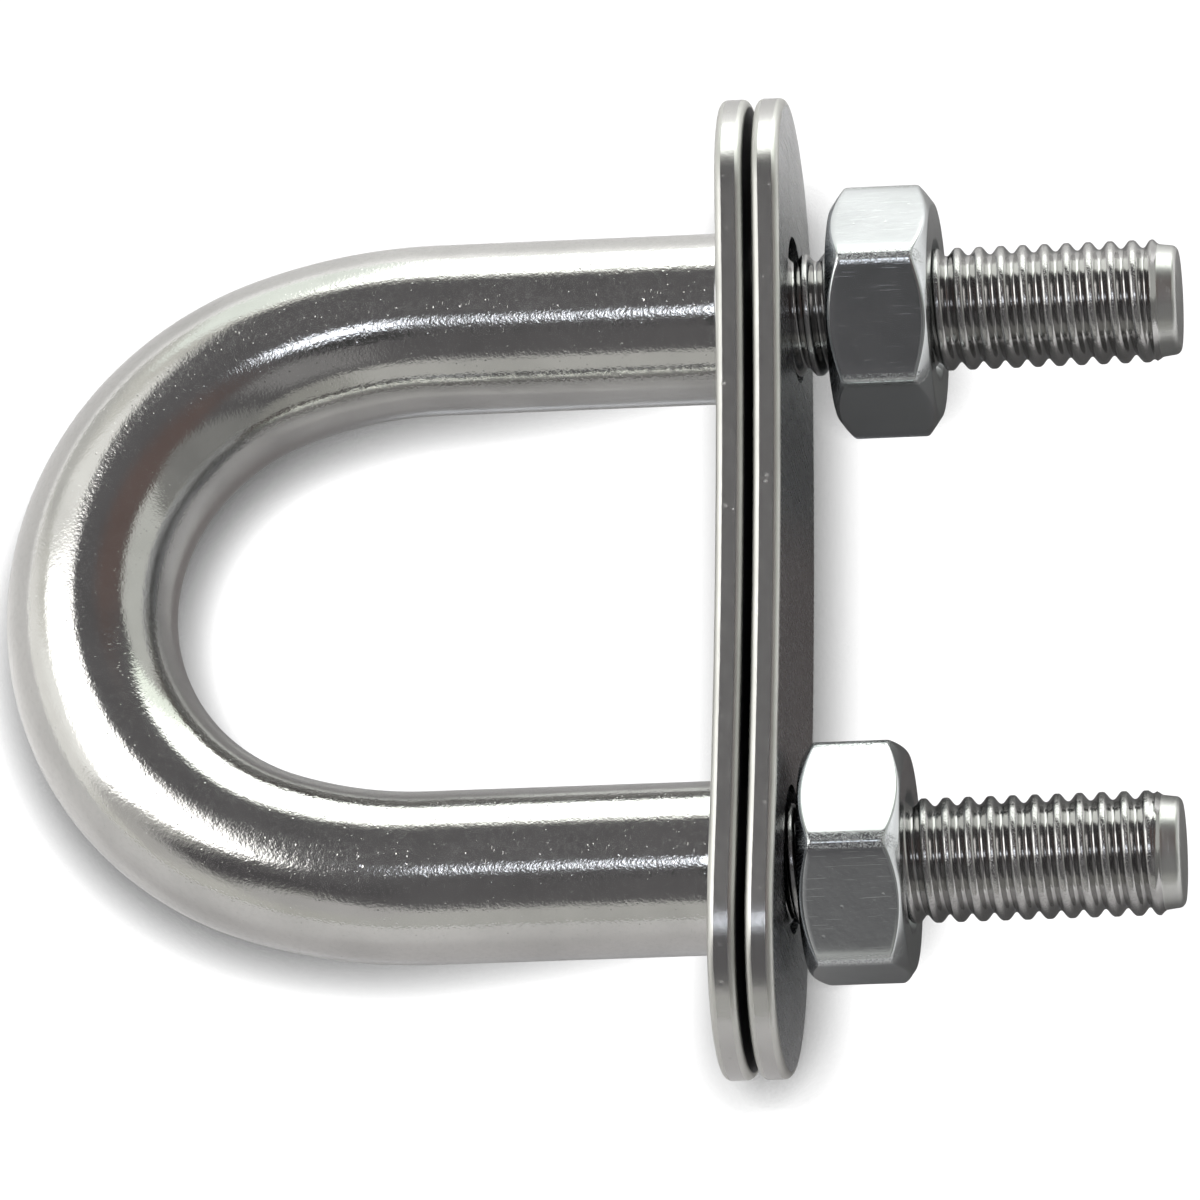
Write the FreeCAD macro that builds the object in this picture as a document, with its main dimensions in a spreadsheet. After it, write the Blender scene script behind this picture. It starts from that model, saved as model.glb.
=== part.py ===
import FreeCAD, Part
import math
import os

import Sketcher
from FreeCAD import Placement, Rotation, Vector

# Bow eye: a round bar bent to a U, turned down at both ends to studs, with two bowed oval plates
# and a hexagon nut on each stud. Millimetres.
# The origin is halfway between the two studs, in the plane of the bar's shoulders. +X runs along
# the studs, through the hull. +Y runs from one stud to the other. +Z is square to the eye.

SIZES = {
    # bar and eye
    "bar_diameter": 9.8,
    "stud_spacing": 33.5,
    "eye_reach": 41.5,
    "crown_bend_radius": 16.1,
    "side_bend_radius": 27.0,
    "shoulder_bevel": 0.25,
    # studs
    "stud_diameter": 7.2,
    "stud_length": 25.8,
    "tip_step": 0.17,
    "tip_length": 1.1,
    "tip_bevel": 0.25,
    # plates
    "plate_length": 58.6,
    "plate_width": 16.5,
    "plate_thickness": 1.6,
    "plate_bow_radius": 860.0,
    "plate_hole_clearance": 0.6,
    "plate_slip_share": 0.6,
    "plate_edge_round": 0.4,
    "plate_gap": 0.5,
    # nuts
    "nut_across_flats": 12.75,
    "nut_height": 5.85,
    "nut_face_share": 0.955,
    "nut_bevel_angle": 36.0,
    "nut_bore_clearance": 0.05,
    "nut_countersink": 0.45,
    "upper_nut_standoff": 2.13,
    "lower_nut_standoff": 0.68,
    "upper_nut_turn": 26.0,
    "lower_nut_turn": 40.0,
}

# How far a cutting profile runs past the surface that it cuts
CUT_MARGIN = 2.0
# Two lengths nearer than this are the same
SAME = 1e-4
# Points along an edge that must all lie on a plate's face for the edge to be part of its rim
RIM_SAMPLES = 5
HEXAGON_SIDES = 6

START, END, CENTRE = 1, 2, 3
ORIGIN = (-1, 1)
AXIS_X, AXIS_Y = -1, -2


# Document and sketches


def add_sizes(doc):
    """The sheet of driving sizes, one alias a row."""
    sheet = doc.addObject("Spreadsheet::Sheet", "Sizes")
    for row, (name, value) in enumerate(SIZES.items(), start=1):
        sheet.set(f"A{row}", name)
        sheet.set(f"B{row}", str(value))
        sheet.setAlias(f"B{row}", name)
    doc.recompute()
    return sheet


def new_body(doc, label):
    body = doc.addObject("PartDesign::Body", label)
    body.Label = label
    return body


def origin_feature(body, role):
    """One of the body's own origin planes or axes."""
    return next(f for f in body.Origin.OriginFeatures if f.Role == role)


def new_sketch(body, name, role):
    """A sketch on one of the body's own origin planes."""
    sketch = body.newObject("Sketcher::SketchObject", name)
    sketch.AttachmentSupport = [(origin_feature(body, role), "")]
    sketch.MapMode = "FlatFace"
    return sketch


def constrain(sketch, kind, *arguments, name=None, formula=None):
    """Add a constraint, and bind its value to the sheet where a formula is given."""
    index = sketch.addConstraint(Sketcher.Constraint(kind, *arguments))
    if formula:
        sketch.renameConstraint(index, name)
        sketch.setExpression(f"Constraints.{name}", formula)


def distance(sketch, axis, first, second, value, name, formula):
    """A bound distance along X or Y from one point to the next, each a line and one of its ends."""
    constrain(sketch, f"Distance{axis}", *first, *second, value, name=name, formula=formula)


def line(start, end):
    return Part.LineSegment(Vector(*start, 0), Vector(*end, 0))


def arc(centre, radius, start_angle, end_angle):
    circle = Part.Circle(Vector(*centre, 0), Vector(0, 0, 1), radius)
    return Part.ArcOfCircle(circle, start_angle, end_angle)


def add_polygon(sketch, points):
    """Closed loop of lines through the points, joined end to end. Gives the lines' numbers."""
    count = len(points)
    edges = [sketch.addGeometry(line(points[i], points[(i + 1) % count])) for i in range(count)]
    for i in range(count):
        constrain(sketch, "Coincident", edges[i], END, edges[(i + 1) % count], START)
    return edges


def add_circle(sketch, centre, radius, name, radius_formula, across=None, across_formula=None):
    """A circle on the sketch's horizontal axis, at its origin or at a distance across."""
    circle = sketch.addGeometry(Part.Circle(Vector(*centre, 0), Vector(0, 0, 1), radius))
    if across_formula:
        first, second = (ORIGIN, (circle, CENTRE)) if across > 0 else ((circle, CENTRE), ORIGIN)
        constrain(sketch, "PointOnObject", circle, CENTRE, AXIS_X)
        distance(sketch, "X", first, second, abs(across), f"{name}_across", across_formula)
    else:
        constrain(sketch, "Coincident", circle, CENTRE, *ORIGIN)
    constrain(sketch, "Radius", circle, radius, name=f"{name}_radius", formula=radius_formula)
    return circle


def cut_through_all(body, name, sketch):
    """A pocket through the whole body, both ways from the sketch."""
    pocket = body.newObject("PartDesign::Pocket", name)
    pocket.Profile = sketch
    pocket.Type = "ThroughAll"
    pocket.SideType = "Symmetric"
    return pocket


def must_cut(feature):
    """Stop if a pocket or groove took nothing away from the feature before it."""
    before, after = feature.BaseFeature.Shape.Volume, feature.Shape.Volume
    if not after < before - SAME:
        raise RuntimeError(f"{feature.Name} cuts nothing")


def edges_where(shape, accept):
    """Names of the edges that a test accepts."""
    return [f"Edge{i}" for i, edge in enumerate(shape.Edges, start=1) if accept(edge)]


def is_circle(edge, radius):
    return isinstance(edge.Curve, Part.Circle) and abs(edge.Curve.Radius - radius) < SAME


# The bar with its two studs, in one piece


def bend_geometry(size):
    """Where the arcs of the bend lie: crown centre, side arcs' centres and the angle each side arc sweeps."""
    half = size["stud_spacing"] / 2
    crown, side = size["crown_bend_radius"], size["side_bend_radius"]
    crown_x = -(size["eye_reach"] - size["bar_diameter"] / 2 - crown)
    sweep = math.acos((side - half) / (side - crown))
    side_x = crown_x + (side - crown) * math.sin(sweep)
    return half, crown, side, crown_x, side_x, sweep


def add_bend_path(body, size):
    """The bar's centre line: leg, side arc, crown arc, side arc, leg, each tangent to the next."""
    half, crown, side, crown_x, side_x, sweep = bend_geometry(size)
    path = new_sketch(body, "bend_path", "XY_Plane")
    upper_leg = path.addGeometry(line((0, half), (side_x, half)))
    upper_side = path.addGeometry(arc((side_x, half - side), side, math.pi / 2, math.pi / 2 + sweep))
    crown_arc = path.addGeometry(arc((crown_x, 0), crown, math.pi / 2 + sweep, -math.pi / 2 - sweep))
    lower_side = path.addGeometry(arc((side_x, side - half), side, -math.pi / 2 - sweep, -math.pi / 2))
    lower_leg = path.addGeometry(line((side_x, -half), (0, -half)))

    constrain(path, "Tangent", upper_leg, END, upper_side, START)
    constrain(path, "Tangent", upper_side, END, crown_arc, START)
    constrain(path, "Tangent", crown_arc, END, lower_side, START)
    constrain(path, "Tangent", lower_side, END, lower_leg, START)
    constrain(path, "Horizontal", upper_leg)
    constrain(path, "Horizontal", lower_leg)
    constrain(path, "PointOnObject", upper_leg, START, AXIS_Y)
    constrain(path, "PointOnObject", lower_leg, END, AXIS_Y)
    constrain(path, "PointOnObject", crown_arc, CENTRE, AXIS_X)
    half_formula = "Sizes.stud_spacing / 2"
    distance(path, "Y", ORIGIN, (upper_leg, START), half, "upper_leg_y", half_formula)
    distance(path, "Y", (lower_leg, END), ORIGIN, half, "lower_leg_y", half_formula)
    for name, bend, radius in (
        ("crown", crown_arc, crown),
        ("upper_side", upper_side, side),
        ("lower_side", lower_side, side),
    ):
        formula = "Sizes.crown_bend_radius" if bend == crown_arc else "Sizes.side_bend_radius"
        constrain(path, "Radius", bend, radius, name=f"{name}_radius", formula=formula)
    reach_formula = "Sizes.eye_reach - Sizes.bar_diameter / 2 - Sizes.crown_bend_radius"
    distance(path, "X", (crown_arc, CENTRE), ORIGIN, -crown_x, "crown_centre", reach_formula)
    return path


def add_stud_section(body, size):
    """Half section of the upper stud: thread's full diameter, a step down to the tip, a bevelled end."""
    half = size["stud_spacing"] / 2
    stud, drop = size["stud_diameter"] / 2, size["tip_step"]
    tip = stud - drop
    end, bevel = size["stud_length"], size["tip_bevel"]
    step = end - size["tip_length"]
    section = new_sketch(body, "stud_section", "XY_Plane")
    points = [
        (0, half),
        (0, half + stud),
        (step - drop, half + stud),
        (step, half + tip),
        (end - bevel, half + tip),
        (end, half + tip - bevel),
        (end, half),
    ]
    root, crest, step_down, land, tip_bevel, face, centre_line = add_polygon(section, points)
    constrain(section, "PointOnObject", root, START, AXIS_Y)
    constrain(section, "Vertical", root)
    constrain(section, "Horizontal", crest)
    constrain(section, "Horizontal", land)
    constrain(section, "Vertical", face)
    constrain(section, "Horizontal", centre_line)
    for name, axis, first, second, value, formula in (
        ("stud_y", "Y", ORIGIN, (root, START), half, "Sizes.stud_spacing / 2"),
        ("stud_radius", "Y", (root, START), (root, END), stud, "Sizes.stud_diameter / 2"),
        ("tip_radius", "Y", (face, END), (land, START), tip, "Sizes.stud_diameter / 2 - Sizes.tip_step"),
        ("stud_end", "X", ORIGIN, (face, START), end, "Sizes.stud_length"),
        ("tip_run", "X", (land, START), (face, START), end - step, "Sizes.tip_length"),
        ("step_run", "X", (step_down, START), (step_down, END), drop, "Sizes.tip_step"),
        ("bevel_along", "X", (tip_bevel, START), (tip_bevel, END), bevel, "Sizes.tip_bevel"),
        ("bevel_down", "Y", (tip_bevel, END), (tip_bevel, START), bevel, "Sizes.tip_bevel"),
    ):
        distance(section, axis, first, second, value, name, formula)
    # the revolution's axis
    axis = section.addGeometry(line((0, half), (end, half)), True)
    constrain(section, "Coincident", axis, START, root, START)
    constrain(section, "Coincident", axis, END, face, END)
    return section


def make_u_bolt(doc, size):
    """One bar: bent on a sweep, with a bevelled shoulder and a turned stud at each end."""
    body = new_body(doc, "u_bolt")
    half, bar = size["stud_spacing"] / 2, size["bar_diameter"] / 2

    path = add_bend_path(body, size)
    bar_section = new_sketch(body, "bar_section", "YZ_Plane")
    bar_formula, half_formula = "Sizes.bar_diameter / 2", "Sizes.stud_spacing / 2"
    add_circle(bar_section, (half, 0), bar, "bar", bar_formula, half, half_formula)
    doc.recompute()
    bend = body.newObject("PartDesign::AdditivePipe", "bend")
    bend.Profile = bar_section
    bend.Spine = (path, [])
    doc.recompute()

    shoulders = body.newObject("PartDesign::Chamfer", "shoulder_bevels")
    rims = edges_where(bend.Shape, lambda e: is_circle(e, bar) and abs(e.CenterOfMass.x) < SAME)
    shoulders.Base = (bend, rims)
    shoulders.Size = size["shoulder_bevel"]
    shoulders.setExpression("Size", "Sizes.shoulder_bevel")
    doc.recompute()

    section = add_stud_section(body, size)
    stud = body.newObject("PartDesign::Revolution", "upper_stud")
    stud.Profile = section
    stud.ReferenceAxis = (section, ["Axis0"])
    stud.Angle = 360
    doc.recompute()
    studs = body.newObject("PartDesign::Mirrored", "both_studs")
    studs.Originals = [stud]
    studs.MirrorPlane = (origin_feature(body, "XZ_Plane"), [""])
    body.Tip = studs
    doc.recompute()
    return body


# The plates, both alike


def plate_bow(size):
    """The bow's radius on the eye side, and how far its centre lies behind the shoulders' plane.

    The plate has slipped towards the upper stud, and touches the lower shoulder on its outermost line.
    """
    radius = size["plate_bow_radius"]
    slip = size["plate_slip_share"] * size["plate_hole_clearance"]
    touch = size["stud_spacing"] / 2 + size["bar_diameter"] / 2 + slip
    return radius, math.sqrt(radius**2 - touch**2)


SLIP_FORMULA = "Sizes.plate_slip_share * Sizes.plate_hole_clearance"
BOW_CENTRE_FORMULA = (
    "sqrt(Sizes.plate_bow_radius ^ 2"
    f" - ((Sizes.stud_spacing + Sizes.bar_diameter) / 2 + {SLIP_FORMULA}) ^ 2)"
)


def add_strip_section(body, size):
    """Edge view of the bowed plate: two arcs with one centre, a thickness apart."""
    radius, centre = plate_bow(size)
    half = size["plate_length"] / 2
    outer = radius + size["plate_thickness"]
    near_angle, far_angle = math.asin(half / radius), math.asin(half / outer)
    strip = new_sketch(body, "bowed_strip", "XY_Plane")
    eye_side = strip.addGeometry(arc((-centre, 0), radius, -near_angle, near_angle))
    hull_side = strip.addGeometry(arc((-centre, 0), outer, -far_angle, far_angle))
    upper_end = strip.addGeometry(
        line(
            (radius * math.cos(near_angle) - centre, half),
            (outer * math.cos(far_angle) - centre, half),
        )
    )
    lower_end = strip.addGeometry(
        line(
            (outer * math.cos(far_angle) - centre, -half),
            (radius * math.cos(near_angle) - centre, -half),
        )
    )
    constrain(strip, "Coincident", eye_side, END, upper_end, START)
    constrain(strip, "Coincident", upper_end, END, hull_side, END)
    constrain(strip, "Coincident", hull_side, START, lower_end, START)
    constrain(strip, "Coincident", lower_end, END, eye_side, START)
    constrain(strip, "Horizontal", upper_end)
    constrain(strip, "Horizontal", lower_end)
    constrain(strip, "PointOnObject", eye_side, CENTRE, AXIS_X)
    constrain(strip, "Coincident", hull_side, CENTRE, eye_side, CENTRE)
    distance(strip, "X", (eye_side, CENTRE), ORIGIN, centre, "bow_centre", BOW_CENTRE_FORMULA)
    for name, face, value, formula in (
        ("eye_side", eye_side, radius, "Sizes.plate_bow_radius"),
        ("hull_side", hull_side, outer, "Sizes.plate_bow_radius + Sizes.plate_thickness"),
    ):
        constrain(strip, "Radius", face, value, name=f"{name}_radius", formula=formula)
    for name, first, second in (
        ("upper_half", ORIGIN, (upper_end, START)),
        ("lower_half", (lower_end, START), ORIGIN),
    ):
        distance(strip, "Y", first, second, half, name, "Sizes.plate_length / 2")
    return strip


def add_outline_cutter(body, size):
    """The oval outline, and a frame round it: what lies between them is cut away."""
    half_length, radius = size["plate_length"] / 2, size["plate_width"] / 2
    straight = half_length - radius
    cutter = new_sketch(body, "oval_outline", "YZ_Plane")
    upper_end = cutter.addGeometry(arc((straight, 0), radius, -math.pi / 2, math.pi / 2))
    lower_end = cutter.addGeometry(arc((-straight, 0), radius, math.pi / 2, 3 * math.pi / 2))
    front = cutter.addGeometry(line((straight, radius), (-straight, radius)))
    back = cutter.addGeometry(line((-straight, -radius), (straight, -radius)))
    constrain(cutter, "Tangent", upper_end, END, front, START)
    constrain(cutter, "Tangent", front, END, lower_end, START)
    constrain(cutter, "Tangent", lower_end, END, back, START)
    constrain(cutter, "Tangent", back, END, upper_end, START)
    constrain(cutter, "PointOnObject", upper_end, CENTRE, AXIS_X)
    constrain(cutter, "PointOnObject", lower_end, CENTRE, AXIS_X)
    constrain(cutter, "Radius", upper_end, radius, name="end_radius", formula="Sizes.plate_width / 2")
    for name, first, second in (
        ("upper_straight", ORIGIN, (upper_end, CENTRE)),
        ("lower_straight", (lower_end, CENTRE), ORIGIN),
    ):
        formula = "(Sizes.plate_length - Sizes.plate_width) / 2"
        distance(cutter, "X", first, second, straight, name, formula)
    far, high = half_length + CUT_MARGIN, radius + CUT_MARGIN
    frame = add_polygon(cutter, [(far, high), (-far, high), (-far, -high), (far, -high)])
    for edge, kind in zip(frame, ("Horizontal", "Vertical", "Horizontal", "Vertical")):
        constrain(cutter, kind, edge)
    for name, axis, first, second, value, formula in (
        ("frame_right", "X", ORIGIN, (frame[0], START), far, "Sizes.plate_length / 2"),
        ("frame_left", "X", (frame[1], START), ORIGIN, far, "Sizes.plate_length / 2"),
        ("frame_top", "Y", ORIGIN, (frame[0], START), high, "Sizes.plate_width / 2"),
        ("frame_bottom", "Y", (frame[2], START), ORIGIN, high, "Sizes.plate_width / 2"),
    ):
        distance(cutter, axis, first, second, value, name, f"{formula} + {CUT_MARGIN}")
    return cutter


def make_plate(doc, size, label, place_formula):
    """An oval plate, bowed along its length, with a hole for each stud and rounded edges."""
    body = new_body(doc, label)
    half, hole = size["stud_spacing"] / 2, size["stud_diameter"] / 2 + size["plate_hole_clearance"]

    strip = body.newObject("PartDesign::Pad", "strip")
    strip.Profile = add_strip_section(body, size)
    strip.SideType = "Symmetric"
    strip.Length = size["plate_width"] + 2 * CUT_MARGIN
    strip.setExpression("Length", f"Sizes.plate_width + {2 * CUT_MARGIN}")
    doc.recompute()
    outline = cut_through_all(body, "outline", add_outline_cutter(body, size))
    doc.recompute()
    must_cut(outline)

    rounding = body.newObject("PartDesign::Fillet", "edge_rounds")
    rims = edges_where(outline.Shape, lambda e: lies_on_face_rim(e, size))
    rounding.Base = (outline, rims)
    rounding.Radius = size["plate_edge_round"]
    rounding.setExpression("Radius", "Sizes.plate_edge_round")
    doc.recompute()

    hole_plan = new_sketch(body, "hole_plan", "YZ_Plane")
    radius_formula = "Sizes.stud_diameter / 2 + Sizes.plate_hole_clearance"
    across_formula = "Sizes.stud_spacing / 2"
    for name, across in (("upper", half), ("lower", -half)):
        add_circle(hole_plan, (across, 0), hole, f"{name}_hole", radius_formula, across, across_formula)
    holes = cut_through_all(body, "stud_holes", hole_plan)
    doc.recompute()
    must_cut(holes)

    body.setExpression("Placement.Base.x", place_formula)
    # both plates hang loose, slipped towards the upper stud within their holes' clearance
    body.setExpression("Placement.Base.y", SLIP_FORMULA)
    doc.recompute()
    return body


def lies_on_face_rim(edge, size):
    """Is this edge all on one broad face of the plate, so that it is part of that face's rim?"""
    radius, centre = plate_bow(size)
    reach = [math.hypot(p.x + centre, p.y) for p in edge.discretize(RIM_SAMPLES)]
    return any(
        all(abs(r - face) < SAME for r in reach)
        for face in (radius, radius + size["plate_thickness"])
    )


# The nuts, both alike

# where the nut stands with no standoff: against the highest point of the backing plate's bow
STACK_FORMULA = (
    "2 * Sizes.plate_thickness + Sizes.plate_gap + Sizes.plate_bow_radius"
    f" - {BOW_CENTRE_FORMULA}"
)


def add_hexagon(body, size):
    """Regular hexagon with a corner on the sketch's horizontal axis."""
    corner = size["nut_across_flats"] / math.sqrt(3)
    hexagon = new_sketch(body, "hexagon", "YZ_Plane")
    angles = [2 * math.pi * i / HEXAGON_SIDES for i in range(HEXAGON_SIDES)]
    sides = add_polygon(hexagon, [(corner * math.cos(a), corner * math.sin(a)) for a in angles])
    circle = add_circle(hexagon, (0, 0), corner, "corner", "Sizes.nut_across_flats / sqrt(3)")
    hexagon.toggleConstruction(circle)
    for side in sides:
        constrain(hexagon, "PointOnObject", side, START, circle)
    for side in sides[1:]:
        constrain(hexagon, "Equal", sides[0], side)
    constrain(hexagon, "PointOnObject", sides[0], START, AXIS_X)
    return hexagon


def add_corner_cutter(body, size):
    """Two triangles outside the cones that bevel the nut's corners, one at each end."""
    face, height = size["nut_across_flats"] * size["nut_face_share"] / 2, size["nut_height"]
    reach = size["nut_across_flats"] / math.sqrt(3) + CUT_MARGIN
    depth = (reach - face) * math.tan(math.radians(size["nut_bevel_angle"]))
    reach_formula = f"Sizes.nut_across_flats / sqrt(3) + {CUT_MARGIN}"
    face_formula = "Sizes.nut_across_flats * Sizes.nut_face_share / 2"
    depth_formula = f"({reach_formula} - {face_formula}) * tan(Sizes.nut_bevel_angle * 1 deg)"
    cutter = new_sketch(body, "corner_bevels", "XY_Plane")
    for name, end, inwards in (("eye", 0.0, 1), ("far", height, -1)):
        cone, rim, back = add_polygon(cutter, [(end, face), (end + inwards * depth, reach), (end, reach)])
        tip, mouth = (cone, START), (cone, END)
        constrain(cutter, "Horizontal", rim)
        constrain(cutter, "Vertical", back)
        if end:
            distance(cutter, "X", ORIGIN, tip, end, "nut_height", "Sizes.nut_height")
        else:
            constrain(cutter, "PointOnObject", *tip, AXIS_Y)
        distance(cutter, "Y", ORIGIN, tip, face, f"{name}_face_radius", face_formula)
        distance(cutter, "Y", ORIGIN, mouth, reach, f"{name}_reach", reach_formula)
        first, second = (tip, mouth) if inwards > 0 else (mouth, tip)
        distance(cutter, "X", first, second, depth, f"{name}_depth", depth_formula)
    return cutter


def make_nut(doc, size, name, side):
    """A hexagon nut with both ends' corners bevelled and its bore countersunk at both ends."""
    body = new_body(doc, f"{name}_nut")
    bore = size["stud_diameter"] / 2 + size["nut_bore_clearance"]

    prism = body.newObject("PartDesign::Pad", "prism")
    prism.Profile = add_hexagon(body, size)
    prism.Length = size["nut_height"]
    prism.setExpression("Length", "Sizes.nut_height")
    doc.recompute()

    bevels = body.newObject("PartDesign::Groove", "bevels")
    bevels.Profile = add_corner_cutter(body, size)
    bevels.ReferenceAxis = (origin_feature(body, "X_Axis"), [""])
    bevels.Angle = 360
    doc.recompute()
    must_cut(bevels)

    bore_plan = new_sketch(body, "bore_plan", "YZ_Plane")
    bore_formula = "Sizes.stud_diameter / 2 + Sizes.nut_bore_clearance"
    add_circle(bore_plan, (0, 0), bore, "bore", bore_formula)
    bore_cut = cut_through_all(body, "bore", bore_plan)
    doc.recompute()
    must_cut(bore_cut)

    sinks = body.newObject("PartDesign::Chamfer", "countersinks")
    sinks.Base = (bore_cut, edges_where(bore_cut.Shape, lambda e: is_circle(e, bore)))
    sinks.Size = size["nut_countersink"]
    sinks.setExpression("Size", "Sizes.nut_countersink")

    body.Placement = Placement(Vector(0, 0, 0), Rotation(Vector(1, 0, 0), size[f"{name}_nut_turn"]))
    body.setExpression("Placement.Base.x", f"{STACK_FORMULA} + Sizes.{name}_nut_standoff")
    body.setExpression("Placement.Base.y", f"{side} * Sizes.stud_spacing / 2")
    body.setExpression("Placement.Rotation.Angle", f"Sizes.{name}_nut_turn * 1 deg")
    doc.recompute()
    return body


# Checking and writing


def check(doc, bodies):
    """Stop before anything is written if an object failed or a shape is broken."""
    for item in doc.Objects:
        if {"Invalid", "Error"} & set(item.State):
            raise RuntimeError(f"{item.Name} failed: {item.State}")
    for body in bodies:
        shape = body.Shape
        if shape.isNull() or not shape.isValid() or len(shape.Solids) != 1:
            raise RuntimeError(f"{body.Label} is not one valid solid")


def main():
    doc = FreeCAD.newDocument("bow_eye")
    sheet = add_sizes(doc)
    size = {name: float(sheet.get(name)) for name in SIZES}
    bodies = [
        make_u_bolt(doc, size),
        make_plate(doc, size, "face_plate", "0"),
        make_plate(doc, size, "backing_plate", "Sizes.plate_thickness + Sizes.plate_gap"),
        make_nut(doc, size, "upper", 1),
        make_nut(doc, size, "lower", -1),
    ]
    doc.recompute()
    check(doc, bodies)
    os.makedirs("parts", exist_ok=True)
    for body in bodies:
        body.Shape.exportStep(f"parts/{body.Label}.step")
        box = body.Shape.BoundBox
        print(
            f"{body.Label}: {body.Shape.Volume:.1f} mm3, X {box.XMin:.2f} to {box.XMax:.2f},"
            f" Y {box.YMin:.2f} to {box.YMax:.2f}, Z {box.ZMin:.2f} to {box.ZMax:.2f}"
        )


main()
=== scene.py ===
"""Bow eye: a bent round bar with two threaded studs, two bowed oval plates and two hexagon nuts.

Metres in the scene, millimetres in the pieces' own sizes. +X runs along the studs, +Y from the lower
stud to the upper one, +Z square to the eye.
"""

import logging
import math
from abc import ABC, abstractmethod
from dataclasses import dataclass
from enum import Enum

import bpy
from mathutils import Matrix, Vector


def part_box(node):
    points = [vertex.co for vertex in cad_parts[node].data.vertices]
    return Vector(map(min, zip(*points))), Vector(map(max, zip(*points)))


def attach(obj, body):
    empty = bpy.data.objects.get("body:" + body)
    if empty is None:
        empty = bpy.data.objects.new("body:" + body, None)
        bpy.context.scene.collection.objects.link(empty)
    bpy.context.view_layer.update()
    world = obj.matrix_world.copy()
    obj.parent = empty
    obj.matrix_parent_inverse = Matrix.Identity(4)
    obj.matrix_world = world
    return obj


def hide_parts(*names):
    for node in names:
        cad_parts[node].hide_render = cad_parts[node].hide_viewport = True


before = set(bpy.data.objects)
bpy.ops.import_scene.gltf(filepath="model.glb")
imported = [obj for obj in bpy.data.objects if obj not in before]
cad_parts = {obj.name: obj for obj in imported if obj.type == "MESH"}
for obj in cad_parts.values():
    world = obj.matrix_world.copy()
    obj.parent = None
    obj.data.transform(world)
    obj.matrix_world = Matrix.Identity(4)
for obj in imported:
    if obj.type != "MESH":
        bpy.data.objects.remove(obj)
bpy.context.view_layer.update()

LOG = logging.getLogger("bow_eye")
MM = 0.001
FULL_TURN = 2 * math.pi


# Node trees


class Field:
    """A socket of a node tree. Arithmetic on it adds Math nodes to the same tree."""

    def __init__(self, tree: bpy.types.NodeTree, socket: bpy.types.NodeSocket) -> None:
        """Hold the socket and its tree."""
        self.tree = tree
        self.socket = socket

    def math(self, operation: str, *others: "Field | float") -> "Field":
        """Add a Math node with this field as its first input.

        Args:
            operation: the Math node's operation.
            others: its other inputs, in order.

        Returns:
            The node's result.
        """
        node = self.tree.nodes.new("ShaderNodeMath")
        node.operation = operation
        for slot, value in enumerate((self, *others)):
            feed(self.tree, node.inputs[slot], value)
        return Field(self.tree, node.outputs[0])

    def __add__(self, other: "Field | float") -> "Field":
        """Sum."""
        return self.math("ADD", other)

    __radd__ = __add__

    def __sub__(self, other: "Field | float") -> "Field":
        """Difference."""
        return self.math("SUBTRACT", other)

    def __rsub__(self, other: float) -> "Field":
        """A number less this field."""
        return self.math("MULTIPLY_ADD", -1.0, other)

    def __mul__(self, other: "Field | float") -> "Field":
        """Product."""
        return self.math("MULTIPLY", other)

    def __pow__(self, power: float) -> "Field":
        """Power."""
        return self.math("POWER", power)

    def __truediv__(self, other: "Field | float") -> "Field":
        """Quotient."""
        return self.math("DIVIDE", other)

    def __rtruediv__(self, other: float) -> "Field":
        """A number divided by this field."""
        return self.math("POWER", -1.0) * other

    def clamp(self, low: "Field | float", high: "Field | float") -> "Field":
        """This field held between two limits."""
        return self.math("MAXIMUM", low).math("MINIMUM", high)

    def ease(self, start: "Field | float", end: "Field | float") -> "Field":
        """0 before start, 1 after end, and a smooth step between."""
        limits = {"Value": self, "From Min": start, "From Max": end}
        return take(self.tree, "ShaderNodeMapRange", limits, interpolation_type="SMOOTHSTEP")

    def zigzag(self) -> "Field":
        """0 at each whole number and 1 halfway between, with straight flanks."""
        return 1.0 - (self.math("FRACT") * 2.0 - 1.0).math("ABSOLUTE")


def feed(tree: bpy.types.NodeTree, socket: bpy.types.NodeSocket, value: object) -> None:
    """Link a field to a socket, or set the socket's value.

    Args:
        tree: the node tree.
        socket: the input.
        value: a field, or the input's plain value.
    """
    if isinstance(value, Field):
        tree.links.new(value.socket, socket)
    else:
        socket.default_value = value


def add_node(
    tree: bpy.types.NodeTree, kind: str, inputs: dict | None = None, **settings: object
) -> bpy.types.Node:
    """Add a node.

    Args:
        tree: the node tree.
        kind: the node's type name.
        inputs: a value or a field for each socket, by its name or number.
        settings: the node's own properties.

    Returns:
        The node.
    """
    node = tree.nodes.new(kind)
    for name, value in settings.items():
        setattr(node, name, value)
    for name, value in (inputs or {}).items():
        feed(tree, node.inputs[name], value)
    return node


def take(
    tree: bpy.types.NodeTree, kind: str, inputs: dict | None = None, out: object = 0, **settings: object
) -> Field:
    """Add a node and give one of its outputs as a field."""
    node = add_node(tree, kind, inputs, **settings)
    return Field(tree, node.outputs[out])


def combine(tree: bpy.types.NodeTree, x: "Field | float", y: "Field | float", z: "Field | float") -> Field:
    """A vector from its three parts."""
    return take(tree, "ShaderNodeCombineXYZ", {0: x, 1: y, 2: z})


def parts(vector: Field) -> list[Field]:
    """A vector's three parts."""
    split = add_node(vector.tree, "ShaderNodeSeparateXYZ", {0: vector})
    return [Field(vector.tree, socket) for socket in split.outputs]


def scaled(tree: bpy.types.NodeTree, vector: "Field | tuple", scale: "Field | float") -> Field:
    """A vector or a colour times a number."""
    return take(tree, "ShaderNodeVectorMath", {0: vector, "Scale": scale}, operation="SCALE")


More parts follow.
